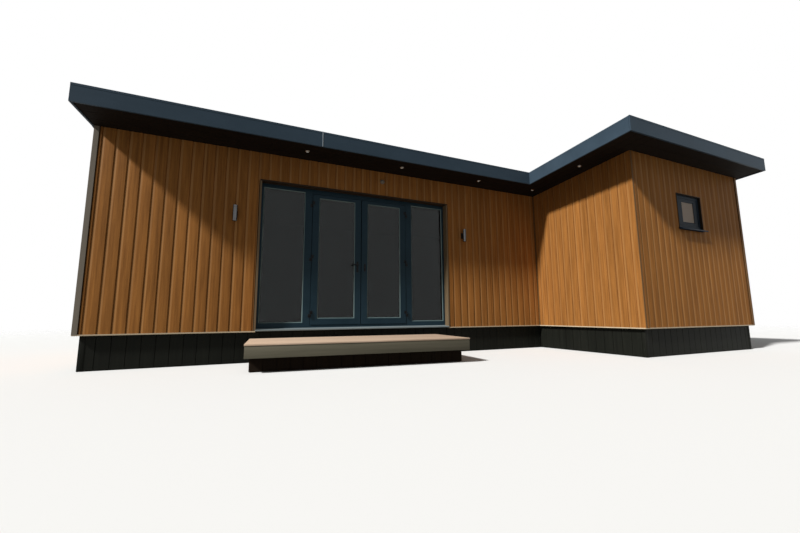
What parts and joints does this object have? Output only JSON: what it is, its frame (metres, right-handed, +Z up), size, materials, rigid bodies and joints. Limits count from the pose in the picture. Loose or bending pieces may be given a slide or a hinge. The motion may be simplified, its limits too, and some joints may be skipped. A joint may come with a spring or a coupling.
{
  "type": "garden office",
  "caption": "L-shaped garden office in vertical boards, with a shallow pitched roof on deep dark eaves, glazed doors between side lights, a small wing window and a floating step.",
  "frame": {"origin": "on the ground, under the centre of the plan's bounding box", "axes": "+Z up, -Y out of the main front with the doors, +X towards the wing"},
  "size_m": [10.28, 6.12, 3.355],
  "materials": {
    "plinth": "matt",
    "floor": "satin",
    "cladding": "satin",
    "trim": "satin",
    "roofing": "matt",
    "soffit": "satin",
    "fascia": "satin",
    "sill": "satin",
    "frame": "satin",
    "glass": "clear",
    "obscured_glass": "obscured",
    "handle": "satin",
    "light": "brushed",
    "downlight": "satin",
    "decking": "matt",
    "step_face": "matt",
    "step_frame": "matt"
  },
  "bodies": {
    "building": {"plinth": "plinth", "floor_main": "floor", "floor_wing": "floor", "front_wall_left": "cladding", "front_wall_over_doors": "cladding", "front_wall_right": "cladding", "left_wall": "cladding", "back_wall": "cladding", "right_wall": "cladding", "wing_left_wall": "cladding", "wing_front_wall": "cladding", "corner_trims": "trim", "foot_trims": "trim", "roof_main": "roofing", "roof_wing": "roofing", "soffit_main": "soffit", "soffit_wing": "soffit", "fascia_front_left": "fascia", "fascia_front_right": "fascia", "fascia_left": "fascia", "fascia_back": "fascia", "fascia_right": "fascia", "fascia_wing_left": "fascia", "fascia_wing_front": "fascia", "door_sill": "sill", "door_frame": "frame", "frame_hinges": "handle", "side_glass": "glass", "window_frame": "frame", "window_glass": "obscured_glass", "window_sill": "frame", "wall_light_left": "light", "wall_light_right": "light", "soffit_lights": "downlight", "step_deck": "decking", "step_fascia": "step_face", "step_base": "step_frame"},
    "left_leaf": {"left_door": "frame", "left_door_glass": "glass", "left_door_handle": "handle", "left_door_hinges": "handle"},
    "right_leaf": {"right_door": "frame", "right_door_glass": "glass", "right_door_handle": "handle", "right_door_hinges": "handle"}
  },
  "joints": [
    {"name": "left_door_hinge", "type": "hinge", "parent": "building", "child": "left_leaf", "pos_m": [-2.319, -0.545, 0], "axis": [0, 0, -1], "range_deg": [0, 90]},
    {"name": "right_door_hinge", "type": "hinge", "parent": "building", "child": "right_leaf", "pos_m": [-0.745, -0.545, 0], "axis": [0, 0, 1], "range_deg": [0, 90]}
  ]
}
